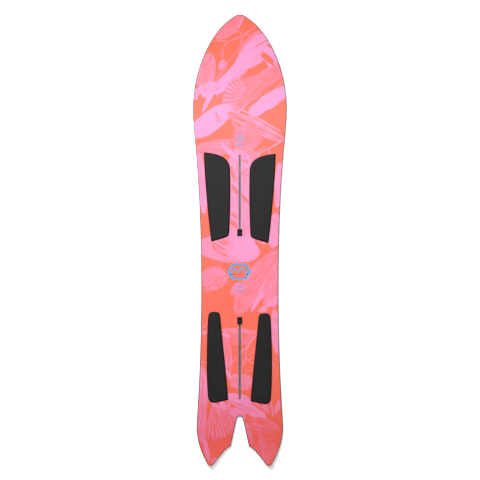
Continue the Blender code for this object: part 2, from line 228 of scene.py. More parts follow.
def inset(points, distance):
    """The closed outline moved inwards. Corners stay square, and an arc that is too tight shrinks to one."""
    count = len(points)
    moved = []
    for i, here in enumerate(points):
        normals = []
        for step in (here - points[i - 1], points[(i + 1) % count] - here):
            normals.append(Vector((-step.y, step.x)).normalized())
        bisector = (normals[0] + normals[1]).normalized()
        moved.append(here + bisector * (distance / max(bisector.dot(normals[0]), 0.4)))

    def progress(i):
        j = (i + 1) % count
        return (moved[j] - moved[i]).dot(points[j] - points[i])

    for _ in range(INSET_PASSES):
        gains = [progress(i) for i in range(count)]
        if min(gains) > -NO_PROGRESS:
            break
        forward = [gain > NO_PROGRESS for gain in gains]
        for last in [i for i in range(count) if forward[i] and not forward[(i + 1) % count]]:
            first = last + 1
            while not forward[first % count]:
                first += 1
            corner = crossing(*(moved[k % count] for k in (last, last + 1, first, first + 1)))
            for k in range(last + 1, first + 1):
                moved[k % count] = corner
    return moved


def stack(rings):
    """A closed body through outlines, from the lowest up: [(outline, z), ...]."""
    bm = bmesh.new()
    levels = [[bm.verts.new((p.x, p.y, z)) for p in points] for points, z in rings]
    bm.faces.new(levels[0][::-1])
    bm.faces.new(levels[-1])
    count = len(levels[0])
    for low, high in zip(levels, levels[1:]):
        for i in range(count):
            j = (i + 1) % count
            bm.faces.new((low[i], low[j], high[j], high[i]))
    bmesh.ops.remove_doubles(bm, verts=bm.verts[:], dist=WELD)
    return bm


def new_object(name, bm):
    mesh = bpy.data.meshes.new(name)
    bm.to_mesh(mesh)
    bm.free()
    mesh.shade_smooth()
    made = bpy.data.objects.new(name, mesh)
    bpy.context.scene.collection.objects.link(made)
    return made


def combine(target, bm, operation):
    """Joins or cuts a body into the target's own mesh."""
    other = new_object("helper", bm)
    modifier = target.modifiers.new("combine", "BOOLEAN")
    modifier.operation = operation
    modifier.solver = "EXACT"
    modifier.object = other
    graph = bpy.context.evaluated_depsgraph_get()
    mesh = bpy.data.meshes.new_from_object(target.evaluated_get(graph))
    target.modifiers.clear()
    target.data = mesh
    bpy.data.objects.remove(other)


def even_normals(made, sharp_angle):
    """Smooth shading that keeps broad faces flat and breaks at sharp edges."""
    made.data.shade_smooth()
    made.data.set_sharp_from_angle(angle=sharp_angle)
    modifier = made.modifiers.new("weighted normals", "WEIGHTED_NORMAL")
    modifier.keep_sharp = True


def stand_for(made, node, body):
    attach(made, body)
    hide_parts(node)


# ---------------------------------------------------------------- skins


def height_along(points):
    """A function of y that gives the height of an outline's points, smoothed along the board."""
    ordered = sorted((p.y, p.z) for p in points)
    ys = [y for y, _ in ordered]
    zs = [z for _, z in ordered]

    def slope_at(end):
        low, high = np.interp((end - BEND_STEP, end + BEND_STEP), ys, zs)
        return (high - low) / BEND_STEP

    before, after = slope_at(ys[0]), slope_at(ys[-1])

    def height(y):
        samples = np.linspace(y - BEND_BLEND, y + BEND_BLEND, 9)
        beyond = np.minimum(samples - ys[0], 0) * before + np.maximum(samples - ys[-1], 0) * after
        return float(np.mean(np.interp(samples, ys, zs) + beyond))

    return height


def make_deck():
    """The printed topsheet: its rim, the ridges round the tracks, and the two keyholes."""
    loops = loops_of("topsheet")
    outer = loops[0]
    holes = [points for points in loops if area(points) < 0]
    feet, keyholes = holes[:2], holes[2:4]
    height = height_along(outer)
    deck_z = feet[0][0].z
    ridge_z = keyholes[0][0].z
    thickness = deck_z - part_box("topsheet")[0].z

    rim = smoothed(outer, RIM_STEP)
    bevel = []
    for share in (0.0, 0.5, 1.0):
        bevel.append((inset(rim, EDGE_WIDTH * share), deck_z - EDGE_DROP * (1 - share) ** 2))
    bm = stack([(rim, deck_z - thickness)] + bevel)
    low, high = min(p.y for p in rim), max(p.y for p in rim)
    for i in range(1, math.floor((high - low) / BEND_STEP)):
        y = low + i * BEND_STEP
        if abs(height(y) - deck_z) < WELD:
            continue
        everything = bm.verts[:] + bm.edges[:] + bm.faces[:]
        bmesh.ops.bisect_plane(bm, geom=everything, dist=1e-7, plane_co=(0, y, 0), plane_no=(0, 1, 0))
    for vert in bm.verts:
        vert.co.z += height(vert.co.y) - deck_z
    made = new_object("printed_deck", bm)

    for points in feet:
        foot = smoothed(points[::-1], KEYHOLE_STEP * 4)
        rings = [(foot, deck_z - RIDGE_OVERLAP), (foot, deck_z + INK_GAP)]
        for i in range(1, RIDGE_RINGS + 1):
            share = i / RIDGE_RINGS
            rise = share * share * (3 - 2 * share)
            z = deck_z + INK_GAP + (ridge_z - deck_z - INK_GAP) * rise
            rings.append((inset(foot, RIDGE_SLOPE * share), z))
        combine(made, stack(rings), "UNION")
    for points in keyholes:
        opening = smoothed(points[::-1], KEYHOLE_STEP)
        combine(made, stack([(opening, deck_z - 2 * thickness), (opening, ridge_z + thickness)]), "DIFFERENCE")
    even_normals(made, math.radians(35))
    stand_for(made, "topsheet", "board")
    return made, rim, height, ridge_z


def make_pad(place, side):
    node = f"{place}_pad_{side}"
    low, high = (corner.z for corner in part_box(node))
    points = smoothed(loops_of(node)[0], PAD_STEP)
    rings = [(inset(points, depth * MM), low + (high - low) * share) for depth, share in PAD_PROFILE]
    made = new_object(f"foam_pad_{place}_{side}", stack(rings))
    even_normals(made, math.radians(50))
    stand_for(made, node, "board")
    return made


def make_plug(place):
    """A track plug with a softened rim and a shallow dish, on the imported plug's own foot."""
    node = f"{place}_track_plug"
    loops = loops_of(node)
    low, high = (corner.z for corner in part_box(node))
    head = smoothed(loops[0], PLUG_STEP)
    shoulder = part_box("topsheet")[0].z
    foot = inset(head, 2.4 * MM)
    crown = high - PLUG_DISH
    rings = [(foot, low), (foot, shoulder), (head, shoulder)]
    rings += [(inset(head, depth * MM), crown + rise * MM) for depth, rise in PLUG_PROFILE]
    made = new_object(f"moulded_plug_{place}", stack(rings))
    even_normals(made, math.radians(40))
    stand_for(made, node, f"{place}_plug")
    return made, crown - PLUG_DISH


# ---------------------------------------------------------------- printed marks


def slab(bm, points, height):
    """A flat print on the surface: an outline, given anticlockwise, a few hundredths of a millimetre thick."""
    low = [bm.verts.new((x, y, height(y) + INK_GAP)) for x, y in points]
    high = [bm.verts.new((x, y, height(y) + INK_TOP)) for x, y in points]
    bm.faces.new(low[::-1])
    bm.faces.new(high)
    for i in range(len(points)):
        j = (i + 1) % len(points)
        bm.faces.new((low[i], low[j], high[j], high[i]))


def box_points(x, y, width, length):
    return [
        (x - width / 2, y - length / 2), (x + width / 2, y - length / 2),
        (x + width / 2, y + length / 2), (x - width / 2, y + length / 2)
    ]


def circle_points(x, y, radius, count, start=0.0):
    turns = [start + 2 * math.pi * i / count for i in range(count)]
    return [(x + radius * math.cos(a), y + radius * math.sin(a)) for a in turns]


def band(bm, outer, inner, height):
    """A closed line: the flat ring between two outlines of equal count."""
    count = len(outer)
    rows = []
    for points, lift in ((outer, INK_GAP), (outer, INK_TOP), (inner, INK_TOP), (inner, INK_GAP)):
        rows.append([bm.verts.new((x, y, height(y) + lift)) for x, y in points])
    for low, high in zip(rows, rows[1:] + rows[:1]):
        for i in range(count):
            j = (i + 1) % count
            bm.faces.new((low[i], low[j], high[j], high[i]))


def make_stance_ticks(ridge):
    bm = bmesh.new()
    for middle, first, last in (FRONT_TICKS, REAR_TICKS):
        for k in range(first, last + 1):
            end = LONG_TICK_END if k == 0 else TICK_END
            for side in (-1, 1):
                x = side * (TICK_START + end) / 2
                slab(bm, box_points(x, middle + k * TICK_PITCH, end - TICK_START, TICK_WIDTH), ridge)
    return bm


def make_small_marks(deck, ridge):
    """Plain bars where the deck carries small print: by the plugs, beside the slots and under the mark."""
    bm = bmesh.new()
    slab(bm, box_points(0.0, 7.2 * MM, 17 * MM, 2.0 * MM), ridge)
    slab(bm, [(-2.4 * MM, -259 * MM), (0.0, -263.5 * MM), (2.4 * MM, -259 * MM)], ridge)
    slab(bm, circle_points(0.0, -567 * MM, 1.4 * MM, 24), ridge)
    for x in (-8.5 * MM, 8.5 * MM):
        for y, length in ((67, 10), (53, 12), (-333, 11), (-352, 16), (-488, 16), (-509, 14)):
            slab(bm, box_points(x, y * MM, 1.5 * MM, length * MM), ridge)
    slab(bm, box_points(-0.5 * MM, -162 * MM, 30 * MM, 3.6 * MM), deck)
    slab(bm, box_points(0.5 * MM, -176 * MM, 38 * MM, 3.6 * MM), deck)
    return bm


def make_emblem(deck):
    """A plain ring round a triangle, with a bar below it, near the nose."""
    bm = bmesh.new()
    x, y = 0.7 * MM, 355.8 * MM
    band(bm, circle_points(x, y, 13.6 * MM, 64), circle_points(x, y, 10.4 * MM, 64), deck)
    slab(bm, circle_points(x, y, 7.2 * MM, 3, math.pi / 2), deck)
    slab(bm, box_points(x, 336 * MM, 31 * MM, 3.4 * MM), deck)
    return bm


def make_mark(deck):
    """A generic mark: a long hexagon, with a line of two peaks across it."""
    bm = bmesh.new()
    x, y = -2.5 * MM, -109 * MM
    outline = [(41.5, 0), (23, 28), (-23, 28), (-41.5, 0), (-23, -28), (23, -28)]
    shrink = 0.8
    outer = [(x + px * MM, y + py * MM) for px, py in outline]
    inner = [(x + px * shrink * MM, y + py * shrink * MM) for px, py in outline]
    band(bm, outer, inner, deck)
    peaks = [(-30, -9), (-14, 11), (-3, -2), (9, 15), (30, -9)]
    line = [(x + px * MM, y + (py + 2.6) * MM) for px, py in peaks]
    under = [(x + px * MM, y + (py - 4.2) * MM) for px, py in peaks]
    slab(bm, under + line[::-1], deck)
    return bm


def make_border(rim, deck):
    """A dark line just inside the rim, all round the deck."""
    bm = bmesh.new()
    outer, inner = inset(rim, EDGE_WIDTH), inset(rim, EDGE_WIDTH + BORDER_WIDTH)
    band(bm, outer, inner, deck)
    return bm


def make_prints(rim, deck, ridge_z, inks):
    def ridge(y):
        return ridge_z

    prints = {
        "deck_border": (make_border(rim, deck), "border"),
        "stance_ticks": (make_stance_ticks(ridge), "tick"),
        "small_marks": (make_small_marks(deck, ridge), "tick"),
        "nose_emblem": (make_emblem(deck), "emblem"),
        "centre_mark": (make_mark(deck), "mark"),
    }
    for name, (bm, ink) in prints.items():
        add_print(name, bm, inks[ink], "board")


def add_print(name, bm, material, body):
    bmesh.ops.recalc_face_normals(bm, faces=bm.faces[:])
    made = new_object(name, bm)
    made.data.shade_flat()
    made.data.materials.append(material)
    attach(made, body)


def make_plug_mark(place, floor_z, material):
    """A small arrowhead in the plug's dish that points to the nose."""
    low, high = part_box(f"{place}_track_plug")
    middle = (low + high) / 2
    bm = bmesh.new()
    slab(bm, circle_points(middle.x, middle.y - 0.6 * MM, ARROW_REACH, 3, math.pi / 2), lambda y: floor_z)
    add_print(f"plug_arrow_{place}", bm, material, f"{place}_plug")


# ---------------------------------------------------------------- shader arithmetic


class Field:
    """A value in a node tree. Its arithmetic adds the nodes for the result."""

    def __init__(self, tree, socket):
        self.tree = tree
        self.socket = socket

    def to(self, operation, *others):
        node = self.tree.nodes.new("ShaderNodeMath")
        node.operation = operation
        for socket, value in zip(node.inputs, (self, *others)):
            if isinstance(value, Field):
                self.tree.links.new(value.socket, socket)
            else:
                socket.default_value = value
        return Field(self.tree, node.outputs[0])

    def __add__(self, other):
        return self.to("ADD", other)

    def __sub__(self, other):
        return self.to("SUBTRACT", other)

    def __mul__(self, other):
        return self.to("MULTIPLY", other)

    def __truediv__(self, other):
        return self.to("DIVIDE", other)

    def __abs__(self):
        return self.to("ABSOLUTE")

    def line(self, slope, offset):
        return self.to("MULTIPLY_ADD", slope, offset)

    def limited(self):
        """Kept from 0 to 1. Nodes of their own do it, because a Math node's clamp is worked out late."""
        return self.to("MAXIMUM", 0.0).to("MINIMUM", 1.0)

    def wave(self):
        """0 to 1 and back again, smoothly, as the value rises by 2."""
        saw = self.to("PINGPONG", 1.0)
        return saw * saw * saw.line(-2.0, 3.0)


def formula(name, inputs, build):
    """A node group with one value out, from number inputs."""
    tree = bpy.data.node_groups.new(name, "ShaderNodeTree")
    for label in inputs:
        tree.interface.new_socket(label, in_out="INPUT", socket_type="NodeSocketFloat")
    tree.interface.new_socket("Value", in_out="OUTPUT", socket_type="NodeSocketFloat")
    start = tree.nodes.new("NodeGroupInput")
    end = tree.nodes.new("NodeGroupOutput")
    result = build(*(Field(tree, start.outputs[label]) for label in inputs))
    tree.links.new(result.socket, end.inputs[0])
    return tree


def apply_formula(tree, group, values):
    node = tree.nodes.new("ShaderNodeGroup")
    node.node_tree = group
    for label, value in values.items():
        if isinstance(value, Field):
            tree.links.new(value.socket, node.inputs[label])
        else:
            node.inputs[label].default_value = value
    return Field(tree, node.outputs[0])


PLACE = ("under", "streak", "x", "y", "centre x", "centre y", "along x", "along y")
EDGE_SHARPNESS = 1.3  # per millimetre
STREAK_LENGTH = 60.0
STREAK_WIDTH = 4.5
STREAK_TURNS = 8


def across_and_along(x, y, centre_x, centre_y, along_x, along_y):
    dx = x - centre_x
    dy = y - centre_y
    return (dx * along_x).to("ADD", dy * along_y), (dy * along_x).to("SUBTRACT", dx * along_y)


def lay_over(under, tone, inside):
    """The tone, where the distance inside the shape's rim is above 0, over what is under it."""
    mask = inside.line(EDGE_SHARPNESS, 0.5).limited()
    return (tone - under).to("MULTIPLY_ADD", mask, under)


def tapered(along, across, streak, reach, half, tip, bow, skew, rag, fray):
    """How far off its middle line a point is, and how far inside a shape that narrows to both ends."""
    share = streak.to("MULTIPLY_ADD", rag, along) / reach
    left = (share * share).line(-1.0, 1.0)
    full = left.to("MAXIMUM", 0.0)
    width = full.to("POWER", tip) * share.to("MULTIPLY_ADD", skew, 1.0) * half
    off = abs(across - bow * full)
    inside = streak.to("MULTIPLY_ADD", fray, width) - off
    return off, left.to("MINIMUM", 0.0).to("MULTIPLY_ADD", reach, inside)


def leaf_formula(
    under, streak, x, y, centre_x, centre_y, along_x, along_y,
    reach, half, tip, bow, skew, rag, fray, edge, heart, texture,
):
    """A leaf, petal, brush stroke or disc."""
    along, across = across_and_along(x, y, centre_x, centre_y, along_x, along_y)
    off, inside = tapered(along, across, streak, reach, half, tip, bow, skew, rag, fray)
    tone = (off / half).to("MINIMUM", 1.0).to("MULTIPLY_ADD", edge - heart, heart)
    return lay_over(under, streak.to("MULTIPLY_ADD", texture, tone), inside)


def ribbed_formula(
    under, streak, x, y, centre_x, centre_y, along_x, along_y,
    reach, half, tip, bow, skew, rag, fray, edge, heart, texture, pitch, slant, rib, notch,
):
    """A leaf with slanted ribs, which also notch its rim."""
    along, across = across_and_along(x, y, centre_x, centre_y, along_x, along_y)
    off, inside = tapered(along, across, streak, reach, half, tip, bow, skew, rag, fray)
    ribs = (off.to("MULTIPLY_ADD", slant, along) / pitch).wave()
    inside = (ribs - 0.5).to("MULTIPLY_ADD", notch, inside)
    tone = (off / half).to("MINIMUM", 1.0).to("MULTIPLY_ADD", edge - heart, heart)
    tone = ribs.to("MULTIPLY_ADD", rib - tone, tone)
    return lay_over(under, streak.to("MULTIPLY_ADD", texture, tone), inside)


def fan_formula(
    under, streak, x, y, centre_x, centre_y, along_x, along_y,
    reach, spread, ribs, swirl, scallop, rag, dark, light, texture,
):
    """Rays from an apex, ending in a scalloped arc."""
    along, across = across_and_along(x, y, centre_x, centre_y, along_x, along_y)
    radius = (along * along + across * across).to("SQRT")
    angle = across.to("ARCTAN2", along)
    rays = (angle * ribs + radius * swirl).wave()
    rim = (scallop * rays).to("MULTIPLY_ADD", reach, reach) - radius + streak * rag
    flank = (spread - abs(angle)) * radius
    tone = streak.to("MULTIPLY_ADD", texture, rays.to("MULTIPLY_ADD", light - dark, dark))
    return lay_over(under, tone, rim.to("MINIMUM", flank))


LEAF_SHAPE = ("reach", "half", "tip", "bow", "skew", "rag", "fray", "edge", "heart", "texture")
RIB_SHAPE = ("pitch", "slant", "rib", "notch")
FAN_SHAPE = ("reach", "spread", "ribs", "swirl", "scallop", "rag", "dark", "light", "texture")


class Canvas:
    """The print as it is laid down: each shape covers part of the tone under it. 0 is coral, 1 pink."""

    def __init__(self, surface, x, y, tone):
        self.tree = surface.tree
        self.here = {"x": x, "y": y}
        self.tone = tone
        self.streaks = [surface.streaks(180 / STREAK_TURNS * k) for k in range(STREAK_TURNS)]
        self.leaf_group = formula("leaf shape", PLACE + LEAF_SHAPE, leaf_formula)
        self.ribbed_group = formula("ribbed leaf shape", PLACE + LEAF_SHAPE + RIB_SHAPE, ribbed_formula)
        self.fan_group = formula("fan shape", PLACE + FAN_SHAPE, fan_formula)

    def lay(self, group, x, y, degrees, values):
        turn = math.radians(degrees)
        streak = self.streaks[round(degrees / 180 * STREAK_TURNS) % STREAK_TURNS]
        place = {"under": self.tone, "streak": streak, **self.here, "centre x": x, "centre y": y}
        place.update({"along x": math.cos(turn), "along y": math.sin(turn)})
        self.tone = apply_formula(self.tree, group, {**place, **values})

    def leaf(
        self, x, y, degrees, reach, half, edge, heart=None,
        tip=0.7, bow=0.0, skew=0.0, rag=8.0, fray=3.0, texture=0.6, ribs=None,
    ):
        """Centre, angle, half length and half width, then the tones at its rim and along its middle."""
        heart = edge if heart is None else heart
        values = dict(zip(LEAF_SHAPE, (reach, half, tip, bow, skew, rag, fray, edge, heart, texture)))
        if ribs:
            values.update(zip(RIB_SHAPE, ribs))
        self.lay(self.ribbed_group if ribs else self.leaf_group, x, y, degrees, values)

    def line(self, x, y, to_x, to_y, half, edge, **shape):
        """The same, from one end to the other."""
        across, up = to_x - x, to_y - y
        middle = ((x + to_x) / 2, (y + to_y) / 2)
        degrees = math.degrees(math.atan2(up, across))
        self.leaf(*middle, degrees, math.hypot(across, up) / 2, half, edge, **shape)

    def vein(self, tone, half, *points):
        """A thin line through points, thinner towards the ends of each step."""
        for (x, y), (to_x, to_y) in zip(points, points[1:]):
            self.line(x, y, to_x, to_y, half, tone, tip=0.25, rag=0.0, fray=0.8, texture=0.2)

    def fan(
        self, x, y, degrees, reach, spread, rays, dark, light, swirl=0.0, scallop=0.0, rag=4.0, texture=0.3
    ):
        ribs = rays / math.radians(spread)
        shape = (reach, math.radians(spread), ribs, swirl, scallop, rag, dark, light, texture)
        self.lay(self.fan_group, x, y, degrees, dict(zip(FAN_SHAPE, shape)))


# ---------------------------------------------------------------- the print


def paint_nose_tip(art):
    art.leaf(-42, 753, 48, 66, 36, 0.45, heart=0.34, tip=0.6, texture=0.8)
    art.leaf(-40, 729, 4, 34, 10, 0.75, heart=0.5, ribs=(5, 0.7, 0.35, 3))
    art.line(14, 788, -9, 733, 4, 0.75)
    art.vein(0.6, 1.6, (-95, 695), (-41, 694), (13, 713), (58, 747), (70, 756))
    art.vein(0.6, 1.4, (-9, 733), (13, 713), (-1, 679), (-38, 624))
    art.vein(0.65, 1.8, (-44, 693), (-58, 670), (-60, 634))
    art.vein(0.45, 1.3, (22, 717), (42, 711))
    art.line(84, 738, -2, 642, 20, 0.5, heart=0.38, skew=0.35, tip=0.5, texture=0.6)


def paint_ribbon(art):
    """The broad diagonal of the nose, with brush strokes across its right end."""
    art.leaf(-119, 588, 77, 72, 33, 0.62, heart=0.45, tip=0.6, texture=1.0)
    art.line(-120, 650, -85, 552, 3, 0.7)
    art.line(-38, 624, -120, 490, 8, 0.42, heart=0.35, tip=0.3)
    art.leaf(-62, 613, 62, 20, 11, 0.95, heart=0.75, ribs=(2.5, 0.6, 0.55, 1.5))
    art.line(-92, 512, 62, 660, 23, 0.93, heart=0.97, tip=0.3, texture=0.15)
    art.line(-12, 598, 112, 712, 40, 0.85, heart=0.92, tip=0.45, skew=0.2, texture=0.35)
    art.leaf(122, 632, -62, 78, 32, 0.97, heart=0.92, tip=0.5, texture=0.2)
    art.line(46, 672, 100, 704, 2.2, 0.1)
    art.line(78, 655, 133, 601, 9.5, 0.02, tip=0.12, rag=22, fray=7, texture=0.2)
    art.line(90, 686, 113, 673, 3.5, 0.05, rag=8)
    art.line(116, 626, 137, 592, 4, 0.9, rag=10, fray=4)


def paint_shell(art):
    """The big rosy body below the ribbon, with a fan of fine ribs at its left end."""
    art.line(-60, 462, 158, 596, 46, 0.46, heart=0.36, tip=0.4, texture=0.8)
    art.line(4, 572, 82, 592, 5, 0.12, rag=6, fray=4)
    art.line(18, 458, 150, 566, 8, 0.08, tip=0.3, fray=4)
    art.fan(36, 494, 172, 92, 62, 11.5, 0.3, 0.85, swirl=0.012, scallop=0.05, rag=26, texture=0.6)
    art.line(-12, 470, 84, 540, 21, 0.45, heart=0.34, tip=0.4, rag=22, texture=0.9)
    art.line(-34, 560, 30, 598, 6, 0.8, rag=24, fray=10)
    art.leaf(103, 487, 35, 84, 25, 0.96, heart=0.99, tip=0.25, rag=26, fray=9, texture=0.2)


def paint_left_leaves(art):
    art.leaf(-124, 524, 27, 52, 21, 0.9, heart=0.86, tip=0.45, texture=0.3)
    art.line(-113, 494, -79, 533, 2, 0.15)
    art.line(-130, 450, -84, 536, 9, 0.95, texture=0.2)
    art.line(-117, 464, -68, 507, 5, 0.1)
    art.leaf(-139, 494, 88, 20, 10, 0.03, texture=0.1)
    art.leaf(-103, 416, 36, 88, 36, 0.96, heart=0.98, tip=0.4, rag=16, fray=7, texture=0.15)
    art.line(-86, 452, -75, 411, 2.4, 0.25)
    art.line(-80, 447, -68, 416, 1.6, 0.3)


def paint_bindings_front(art):
    """The flower, leaves and stems ahead of the front track."""
    art.line(-42, 446, 156, 350, 20, 0.92, heart=0.3, tip=0.4, rag=10, texture=1.2)
    art.line(-2, 460, 152, 379, 4, 0.85, rag=14)
    art.leaf(26, 361, 12, 50, 46, 0.55, heart=0.42, tip=0.5, rag=26, fray=12, texture=0.6)
    art.line(-30, 420, 4, 372, 7, 0.5, rag=20, fray=5)
    art.leaf(-78, 326, 9, 84, 27, 0.55, heart=0.48, tip=0.5, texture=0.6)
    art.leaf(17, 303, -14, 54, 24, 0.62, heart=0.5, tip=0.5, rag=14, texture=0.8)
    art.line(-68, 346, 6, 262, 9, 0.92, texture=0.25)
    art.line(-34, 352, -16, 316, 3, 0.1, rag=8)
    art.vein(0.9, 2.6, (61, 299), (102, 324), (144, 347))
    art.vein(0.85, 2.0, (102, 325), (106, 303))
    art.vein(0.8, 1.8, (58, 306), (92, 331))


def paint_front_track(art):
    art.leaf(0, 122, 90, 192, 62, 0.85, heart=0.8, tip=0.35, texture=0.7)
    art.line(-56, 324, 32, 252, 9, 0.96, texture=0.15)
    art.line(6, 281, 34, 272, 3, 0.15, rag=10, fray=4)
    art.line(-31, 262, -18, 204, 6, 0.3)
    art.vein(0.08, 1.6, (-24, 203), (34, 255))
    art.line(-28, 196, -4, 160, 6, 0.15)
    art.line(4, 166, 34, 128, 5, 0.2)
    art.line(6, 236, 34, 224, 4, 0.45, rag=12, fray=5)
    for y in (100, 92):
        art.line(-33, y, -8, y - 13, 2.4, 0.12, rag=8)
    art.line(-34, 70, -8, 44, 8, 0.22, tip=0.3, rag=10)
    art.leaf(-133, 200, 94, 104, 14, 0.9, heart=0.8, tip=0.3, texture=0.8)
    art.leaf(136, 190, 87, 82, 14, 0.92, heart=0.85, tip=0.3, rag=20, texture=0.8)
    art.line(112, 76, 138, 118, 7, 0.04)
    art.leaf(121, 36, 85, 58, 17, 0.85, heart=0.8, tip=0.3, rag=14)


def paint_middle(art):
    art.leaf(-40, -32, -5, 112, 48, 0.78, heart=0.72, tip=0.5, bow=4, texture=0.4)
    art.leaf(14, -30, -25, 50, 43, 0.98, heart=0.95, tip=0.5, texture=0.1)
    strokes = (
        (-98, 2, -82, -42), (-88, -10, -50, -34), (-78, 2, -45, -17), (-86, -34, -32, -58), (-62, 4, -34, -14)
    )
    for stroke in strokes:
        art.line(*stroke, 2.8, 0.05, bow=-3, fray=2)
    art.fan(-8, -42, 140, 44, 28, 6, 0.7, 0.98, rag=5)
    art.leaf(119, 0, 92, 24, 18, 0.85, rag=8)
    art.leaf(76, -6, -22, 18, 6, 0.65, rag=10, fray=5)
    art.vein(0.45, 1.8, (126, -20), (84, -64), (44, -100))
    art.vein(0.4, 1.2, (33, -74), (34, -100))
    art.leaf(-90, -132, 8, 50, 38, 0.55, heart=0.42, tip=0.5, rag=10, ribs=(7, 0.8, 0.7, 10))
    art.line(-120, -175, -42, -118, 17, 0.5, heart=0.4, rag=26, fray=8, texture=0.8)
    art.vein(0.85, 1.2, (-136, -160), (-48, -138), (-70, -86))
    art.leaf(-12, -168, 50, 32, 14, 0.6, heart=0.4, rag=12, ribs=(5, 0.9, 0.75, 7))
    art.leaf(34, -146, 0, 24, 24, 0.68, heart=0.3, tip=0.5)


def paint_right_plume(art):
    """The long plume on the right, between the tracks, and the swirl that ends it."""
    art.line(150, -38, -14, -256, 44, 0.55, heart=0.45, tip=0.5, bow=-10, rag=10, texture=0.9)
    art.leaf(118, -160, 78, 90, 34, 0.5, heart=0.62, tip=0.5, texture=0.9)
    art.line(96, -120, 60, -200, 3, 0.85, rag=10)
    art.line(84, -180, 38, -248, 8.5, 0.98, rag=24, fray=8, texture=0.2)
    art.line(66, -212, 48, -236, 4, 0.9, rag=12, fray=5)
    art.line(138, -196, 66, -248, 13, 0.88, heart=0.8, bow=7, tip=0.5)
    art.leaf(112, -250, 20, 36, 12, 0.04, tip=0.5, texture=0.1)
    art.leaf(108, -240, 10, 13, 8, 0.0, tip=0.5, texture=0.1)
    art.leaf(126, -300, 95, 60, 13, 0.8, heart=0.7, tip=0.4, rag=24, texture=0.8)
    art.line(2, -216, -16, -262, 5, 0.3, rag=10)


def paint_rear_track(art):
    art.leaf(2, -338, 0, 46, 26, 0.4, heart=0.28, tip=0.5, texture=0.7)
    art.line(-52, -318, -38, -470, 17, 0.5, heart=0.38, tip=0.35, rag=12, texture=0.9)
    for drop in (0, 7):
        art.vein(0.8, 2.2, (-64, -314 - drop), (-2, -306 - drop), (62, -319 - drop))
    art.leaf(-47, -331, -15, 17, 6, 0.88)
    art.vein(0.72, 1.9, (60, -332), (-3, -400), (-47, -448))
    art.vein(0.75, 1.8, (56, -328), (23, -384), (20, -405), (10, -440))
    art.vein(0.7, 1.5, (54, -378), (32, -401))
    art.vein(0.75, 1.7, (20, -404), (33, -423), (50, -428))
    art.vein(0.65, 1.3, (28, -417), (50, -406))
    art.vein(0.5, 1.3, (46, -448), (18, -464))
    art.line(-54, -376, -44, -452, 2.4, 0.75)
    art.leaf(-40, -468, -60, 20, 7, 0.85, rag=8)
    art.leaf(6, -494, -8, 42, 28, 0.5, heart=0.42, tip=0.45, rag=14, ribs=(6, 0.8, 0.62, 3))
    art.vein(0.7, 1.8, (-137, -318), (-110, -317))
    art.line(-136, -326, -112, -324, 4, 0.8, rag=8)
    art.line(-130, -306, -112, -290, 3, 0.5, rag=8)
    art.vein(0.65, 1.6, (-138, -425), (-110, -429))
    art.vein(0.5, 1.2, (-138, -434), (-110, -437))
    art.line(-132, -440, -128, -600, 17, 0.78, heart=0.6, tip=0.35, rag=20, texture=1.3)
    art.line(104, -262, 132, -400, 13, 0.82, heart=0.7, rag=16, texture=0.8)
    art.line(124, -318, 127, -396, 8, 0.8, rag=10)
    art.vein(0.7, 1.5, (111, -425), (121, -439))
    art.line(110, -474, 108, -504, 3, 0.7)


def paint_left_tail(art):
    art.leaf(-134, -612, 88, 92, 17, 0.72, heart=0.62, tip=0.4, texture=0.8)
    art.line(-124, -526, -108, -566, 5, 0.85)
    art.fan(-98, -576, -58, 112, 46, 12, 0.2, 0.72, swirl=0.01, scallop=0.07, rag=34, texture=1.2)
    art.fan(-98, -576, -58, 40, 46, 12, 0.35, 0.6, swirl=0.01, rag=20, texture=1.0)
    art.line(-102, -568, -66, -586, 6, 0.88)
    art.line(-70, -562, -46, -594, 10, 0.95, texture=0.4)
    art.line(-132, -680, -104, -774, 9, 0.85, heart=0.92, rag=8, texture=0.5)
    art.leaf(-87, -768, 40, 14, 7, 0.75, rag=14, fray=7)


def paint_right_tail(art):
    art.line(-40, -540, -36, -604, 8, 0.6, texture=0.8)
    art.line(-44, -540, 90, -624, 26, 0.9, heart=0.96, tip=0.55, bow=6, texture=0.5)
    art.line(-30, -590, 20, -624, 20, 0.88, heart=0.8, texture=0.6)
    art.vein(0.15, 1.3, (-34, -560), (10, -580), (66, -606))
    art.vein(0.2, 1.0, (-26, -574), (4, -590), (40, -600))
    art.line(38, -564, 92, -606, 5, 0.05, rag=18, fray=7)
    art.line(80, -566, 100, -606, 9, 0.62, rag=20, fray=8, texture=0.9)
    art.line(106, -562, 118, -620, 4, 0.65, rag=8)
    art.leaf(131, -580, 80, 26, 8, 0.75, rag=20, fray=9, texture=1.2)
    art.leaf(84, -648, -14, 60, 28, 0.36, heart=0.26, tip=0.6, texture=0.6)
    art.line(38, -636, 128, -662, 1.6, 0.5)
    art.line(15, -628, 48, -716, 9, 0.86, heart=0.7, rag=8, ribs=(4, 0.8, 0.5, 7))
    art.line(48, -676, 130, -690, 14, 0.4, heart=0.2, rag=20, ribs=(5, 0.9, 0.12, 5), texture=0.6)
    art.line(74, -690, 92, -786, 22, 0.1, heart=0.35, tip=0.5, ribs=(6, 1.3, 0.42, 5), texture=0.5)
    art.line(70, -672, 86, -782, 1.8, 0.55)
    art.line(106, -706, 132, -766, 15, 0.4, heart=0.3, tip=0.5, rag=14, ribs=(6, 1.0, 0.15, 4), texture=0.6)


PAINTERS = (
    paint_nose_tip, paint_ribbon, paint_shell, paint_left_leaves, paint_bindings_front, paint_front_track,
    paint_middle, paint_right_plume, paint_rear_track, paint_left_tail, paint_right_tail,
)


# ---------------------------------------------------------------- materials


